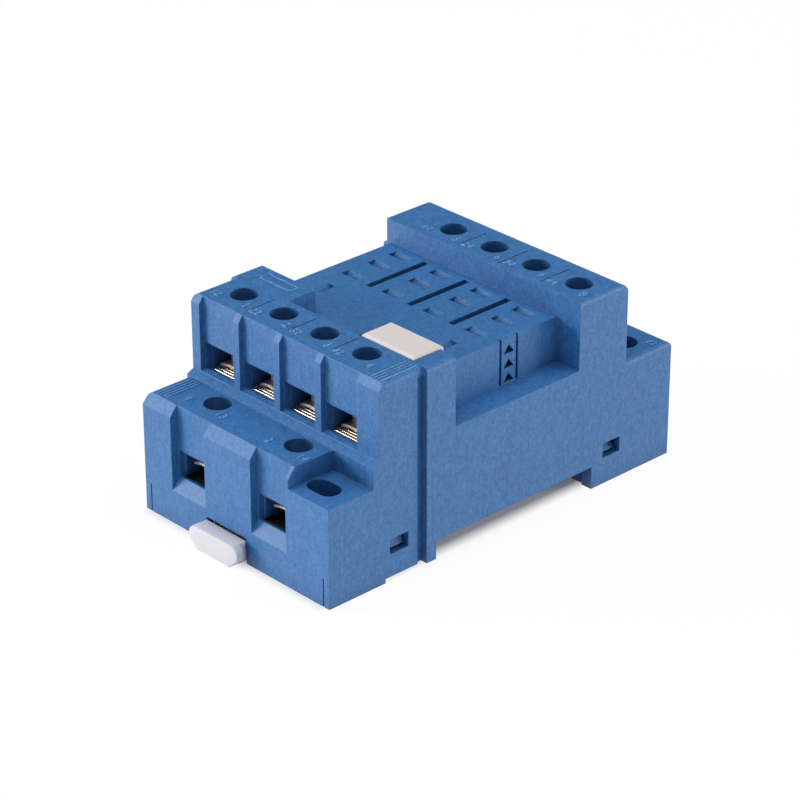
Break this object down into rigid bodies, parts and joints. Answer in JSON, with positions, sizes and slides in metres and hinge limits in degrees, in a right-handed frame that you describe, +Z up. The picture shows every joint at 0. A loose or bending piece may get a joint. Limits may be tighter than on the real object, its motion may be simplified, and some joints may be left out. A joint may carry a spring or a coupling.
{
  "type": "relay socket",
  "caption": "Screw terminal socket for a plug-in relay: stepped plastic body with wire pockets, blade slots, a rail channel and a sliding rail clip.",
  "frame": {"origin": "middle of the base's bounding rectangle, on the plane the feet stand on", "axes": "+Z up out of the relay seat, +Y along the body from the coil end to the far end, +X to the side with the finger recess and the panel slot"},
  "size_m": [0.0476, 0.081, 0.0366],
  "materials": {
    "housing_plastic": "fine grained matt",
    "cover_plastic": "matt",
    "clip_plastic": "satin, slightly translucent",
    "tag_plastic": "smooth",
    "terminal_metal": "bright plated",
    "clamp_metal": "bright plated",
    "screw_metal": "zinc plated"
  },
  "bodies": {
    "socket": {"housing": "housing_plastic", "base_cover": "cover_plastic", "marker_tag": "tag_plastic", "terminal_coil_1": "terminal_metal", "terminal_coil_2": "terminal_metal", "terminal_front_1": "terminal_metal", "terminal_front_2": "terminal_metal", "terminal_front_3": "terminal_metal", "terminal_front_4": "terminal_metal", "terminal_rear_upper_1": "terminal_metal", "terminal_rear_upper_2": "terminal_metal", "terminal_rear_upper_3": "terminal_metal", "terminal_rear_upper_4": "terminal_metal", "terminal_rear_lower_1": "terminal_metal", "terminal_rear_lower_2": "terminal_metal", "terminal_rear_lower_3": "terminal_metal", "terminal_rear_lower_4": "terminal_metal"},
    "clip": {"rail_clip": "clip_plastic"},
    "clamp_coil_1": {"clamp_plate_coil_1": "clamp_metal"},
    "screw_coil_1": {"clamp_screw_coil_1": "screw_metal"},
    "clamp_coil_2": {"clamp_plate_coil_2": "clamp_metal"},
    "screw_coil_2": {"clamp_screw_coil_2": "screw_metal"},
    "clamp_front_1": {"clamp_plate_front_1": "clamp_metal"},
    "screw_front_1": {"clamp_screw_front_1": "screw_metal"},
    "clamp_front_2": {"clamp_plate_front_2": "clamp_metal"},
    "screw_front_2": {"clamp_screw_front_2": "screw_metal"},
    "clamp_front_3": {"clamp_plate_front_3": "clamp_metal"},
    "screw_front_3": {"clamp_screw_front_3": "screw_metal"},
    "clamp_front_4": {"clamp_plate_front_4": "clamp_metal"},
    "screw_front_4": {"clamp_screw_front_4": "screw_metal"},
    "clamp_rear_upper_1": {"clamp_plate_rear_upper_1": "clamp_metal"},
    "screw_rear_upper_1": {"clamp_screw_rear_upper_1": "screw_metal"},
    "clamp_rear_upper_2": {"clamp_plate_rear_upper_2": "clamp_metal"},
    "screw_rear_upper_2": {"clamp_screw_rear_upper_2": "screw_metal"},
    "clamp_rear_upper_3": {"clamp_plate_rear_upper_3": "clamp_metal"},
    "screw_rear_upper_3": {"clamp_screw_rear_upper_3": "screw_metal"},
    "clamp_rear_upper_4": {"clamp_plate_rear_upper_4": "clamp_metal"},
    "screw_rear_upper_4": {"clamp_screw_rear_upper_4": "screw_metal"},
    "clamp_rear_lower_1": {"clamp_plate_rear_lower_1": "clamp_metal"},
    "screw_rear_lower_1": {"clamp_screw_rear_lower_1": "screw_metal"},
    "clamp_rear_lower_2": {"clamp_plate_rear_lower_2": "clamp_metal"},
    "screw_rear_lower_2": {"clamp_screw_rear_lower_2": "screw_metal"},
    "clamp_rear_lower_3": {"clamp_plate_rear_lower_3": "clamp_metal"},
    "screw_rear_lower_3": {"clamp_screw_rear_lower_3": "screw_metal"},
    "clamp_rear_lower_4": {"clamp_plate_rear_lower_4": "clamp_metal"},
    "screw_rear_lower_4": {"clamp_screw_rear_lower_4": "screw_metal"}
  },
  "joints": [
    {"name": "rail_clip_pull", "type": "slide", "parent": "socket", "child": "clip", "axis": [0, -1, 0], "range_m": [0, 0.0025], "stiffness_N_per_m": 200},
    {"name": "clamp_coil_1_lift", "type": "slide", "parent": "socket", "child": "clamp_coil_1", "axis": [0, 0, 1], "range_m": [-0.0018, 0]},
    {"name": "screw_coil_1_turn", "type": "hinge", "parent": "clamp_coil_1", "child": "screw_coil_1", "pos_m": [-0.0116, -0.0307, 0.0134], "axis": [0, 0, 1], "range_deg": [-1296.5, 0]},
    {"name": "clamp_coil_2_lift", "type": "slide", "parent": "socket", "child": "clamp_coil_2", "axis": [0, 0, 1], "range_m": [-0.0018, 0]},
    {"name": "screw_coil_2_turn", "type": "hinge", "parent": "clamp_coil_2", "child": "screw_coil_2", "pos_m": [0.0084, -0.0307, 0.0134], "axis": [0, 0, 1], "range_deg": [-1296.5, 0]},
    {"name": "clamp_front_1_lift", "type": "slide", "parent": "socket", "child": "clamp_front_1", "axis": [0, 0, 1], "range_m": [0, 0.0018]},
    {"name": "screw_front_1_turn", "type": "hinge", "parent": "clamp_front_1", "child": "screw_front_1", "pos_m": [-0.0166, -0.0203, 0.028], "axis": [0, 0, 1], "range_deg": [0, 1296.5]},
    {"name": "clamp_front_2_lift", "type": "slide", "parent": "socket", "child": "clamp_front_2", "axis": [0, 0, 1], "range_m": [0, 0.0018]},
    {"name": "screw_front_2_turn", "type": "hinge", "parent": "clamp_front_2", "child": "screw_front_2", "pos_m": [-0.0066, -0.0203, 0.028], "axis": [0, 0, 1], "range_deg": [0, 1296.5]},
    {"name": "clamp_front_3_lift", "type": "slide", "parent": "socket", "child": "clamp_front_3", "axis": [0, 0, 1], "range_m": [0, 0.0018]},
    {"name": "screw_front_3_turn", "type": "hinge", "parent": "clamp_front_3", "child": "screw_front_3", "pos_m": [0.0034, -0.0203, 0.028], "axis": [0, 0, 1], "range_deg": [0, 1296.5]},
    {"name": "clamp_front_4_lift", "type": "slide", "parent": "socket", "child": "clamp_front_4", "axis": [0, 0, 1], "range_m": [0, 0.0018]},
    {"name": "screw_front_4_turn", "type": "hinge", "parent": "clamp_front_4", "child": "screw_front_4", "pos_m": [0.0134, -0.0203, 0.028], "axis": [0, 0, 1], "range_deg": [0, 1296.5]},
    {"name": "clamp_rear_upper_1_lift", "type": "slide", "parent": "socket", "child": "clamp_rear_upper_1", "axis": [0, 0, 1], "range_m": [0, 0.0018]},
    {"name": "screw_rear_upper_1_turn", "type": "hinge", "parent": "clamp_rear_upper_1", "child": "screw_rear_upper_1", "pos_m": [-0.0116, 0.023, 0.028], "axis": [0, 0, 1], "range_deg": [0, 1296.5]},
    {"name": "clamp_rear_upper_2_lift", "type": "slide", "parent": "socket", "child": "clamp_rear_upper_2", "axis": [0, 0, 1], "range_m": [0, 0.0018]},
    {"name": "screw_rear_upper_2_turn", "type": "hinge", "parent": "clamp_rear_upper_2", "child": "screw_rear_upper_2", "pos_m": [-0.0016, 0.023, 0.028], "axis": [0, 0, 1], "range_deg": [0, 1296.5]},
    {"name": "clamp_rear_upper_3_lift", "type": "slide", "parent": "socket", "child": "clamp_rear_upper_3", "axis": [0, 0, 1], "range_m": [0, 0.0018]},
    {"name": "screw_rear_upper_3_turn", "type": "hinge", "parent": "clamp_rear_upper_3", "child": "screw_rear_upper_3", "pos_m": [0.0084, 0.023, 0.028], "axis": [0, 0, 1], "range_deg": [0, 1296.5]},
    {"name": "clamp_rear_upper_4_lift", "type": "slide", "parent": "socket", "child": "clamp_rear_upper_4", "axis": [0, 0, 1], "range_m": [0, 0.0018]},
    {"name": "screw_rear_upper_4_turn", "type": "hinge", "parent": "clamp_rear_upper_4", "child": "screw_rear_upper_4", "pos_m": [0.0184, 0.023, 0.028], "axis": [0, 0, 1], "range_deg": [0, 1296.5]},
    {"name": "clamp_rear_lower_1_lift", "type": "slide", "parent": "socket", "child": "clamp_rear_lower_1", "axis": [0, 0, 1], "range_m": [0, 0.0018]},
    {"name": "screw_rear_lower_1_turn", "type": "hinge", "parent": "clamp_rear_lower_1", "child": "screw_rear_lower_1", "pos_m": [-0.0116, 0.0343, 0.0134], "axis": [0, 0, 1], "range_deg": [0, 1296.5]},
    {"name": "clamp_rear_lower_2_lift", "type": "slide", "parent": "socket", "child": "clamp_rear_lower_2", "axis": [0, 0, 1], "range_m": [0, 0.0018]},
    {"name": "screw_rear_lower_2_turn", "type": "hinge", "parent": "clamp_rear_lower_2", "child": "screw_rear_lower_2", "pos_m": [-0.0016, 0.0343, 0.0134], "axis": [0, 0, 1], "range_deg": [0, 1296.5]},
    {"name": "clamp_rear_lower_3_lift", "type": "slide", "parent": "socket", "child": "clamp_rear_lower_3", "axis": [0, 0, 1], "range_m": [0, 0.0018]},
    {"name": "screw_rear_lower_3_turn", "type": "hinge", "parent": "clamp_rear_lower_3", "child": "screw_rear_lower_3", "pos_m": [0.0084, 0.0343, 0.0134], "axis": [0, 0, 1], "range_deg": [0, 1296.5]},
    {"name": "clamp_rear_lower_4_lift", "type": "slide", "parent": "socket", "child": "clamp_rear_lower_4", "axis": [0, 0, 1], "range_m": [0, 0.0018]},
    {"name": "screw_rear_lower_4_turn", "type": "hinge", "parent": "clamp_rear_lower_4", "child": "screw_rear_lower_4", "pos_m": [0.0184, 0.0343, 0.0134], "axis": [0, 0, 1], "range_deg": [0, 1296.5]}
  ],
  "couplings": [
    {"joint": "screw_coil_1_turn", "follows": "clamp_coil_1_lift", "rad_per_m": 12566},
    {"joint": "screw_coil_2_turn", "follows": "clamp_coil_2_lift", "rad_per_m": 12566},
    {"joint": "screw_front_1_turn", "follows": "clamp_front_1_lift", "rad_per_m": 12566},
    {"joint": "screw_front_2_turn", "follows": "clamp_front_2_lift", "rad_per_m": 12566},
    {"joint": "screw_front_3_turn", "follows": "clamp_front_3_lift", "rad_per_m": 12566},
    {"joint": "screw_front_4_turn", "follows": "clamp_front_4_lift", "rad_per_m": 12566},
    {"joint": "screw_rear_upper_1_turn", "follows": "clamp_rear_upper_1_lift", "rad_per_m": 12566},
    {"joint": "screw_rear_upper_2_turn", "follows": "clamp_rear_upper_2_lift", "rad_per_m": 12566},
    {"joint": "screw_rear_upper_3_turn", "follows": "clamp_rear_upper_3_lift", "rad_per_m": 12566},
    {"joint": "screw_rear_upper_4_turn", "follows": "clamp_rear_upper_4_lift", "rad_per_m": 12566},
    {"joint": "screw_rear_lower_1_turn", "follows": "clamp_rear_lower_1_lift", "rad_per_m": 12566},
    {"joint": "screw_rear_lower_2_turn", "follows": "clamp_rear_lower_2_lift", "rad_per_m": 12566},
    {"joint": "screw_rear_lower_3_turn", "follows": "clamp_rear_lower_3_lift", "rad_per_m": 12566},
    {"joint": "screw_rear_lower_4_turn", "follows": "clamp_rear_lower_4_lift", "rad_per_m": 12566}
  ]
}
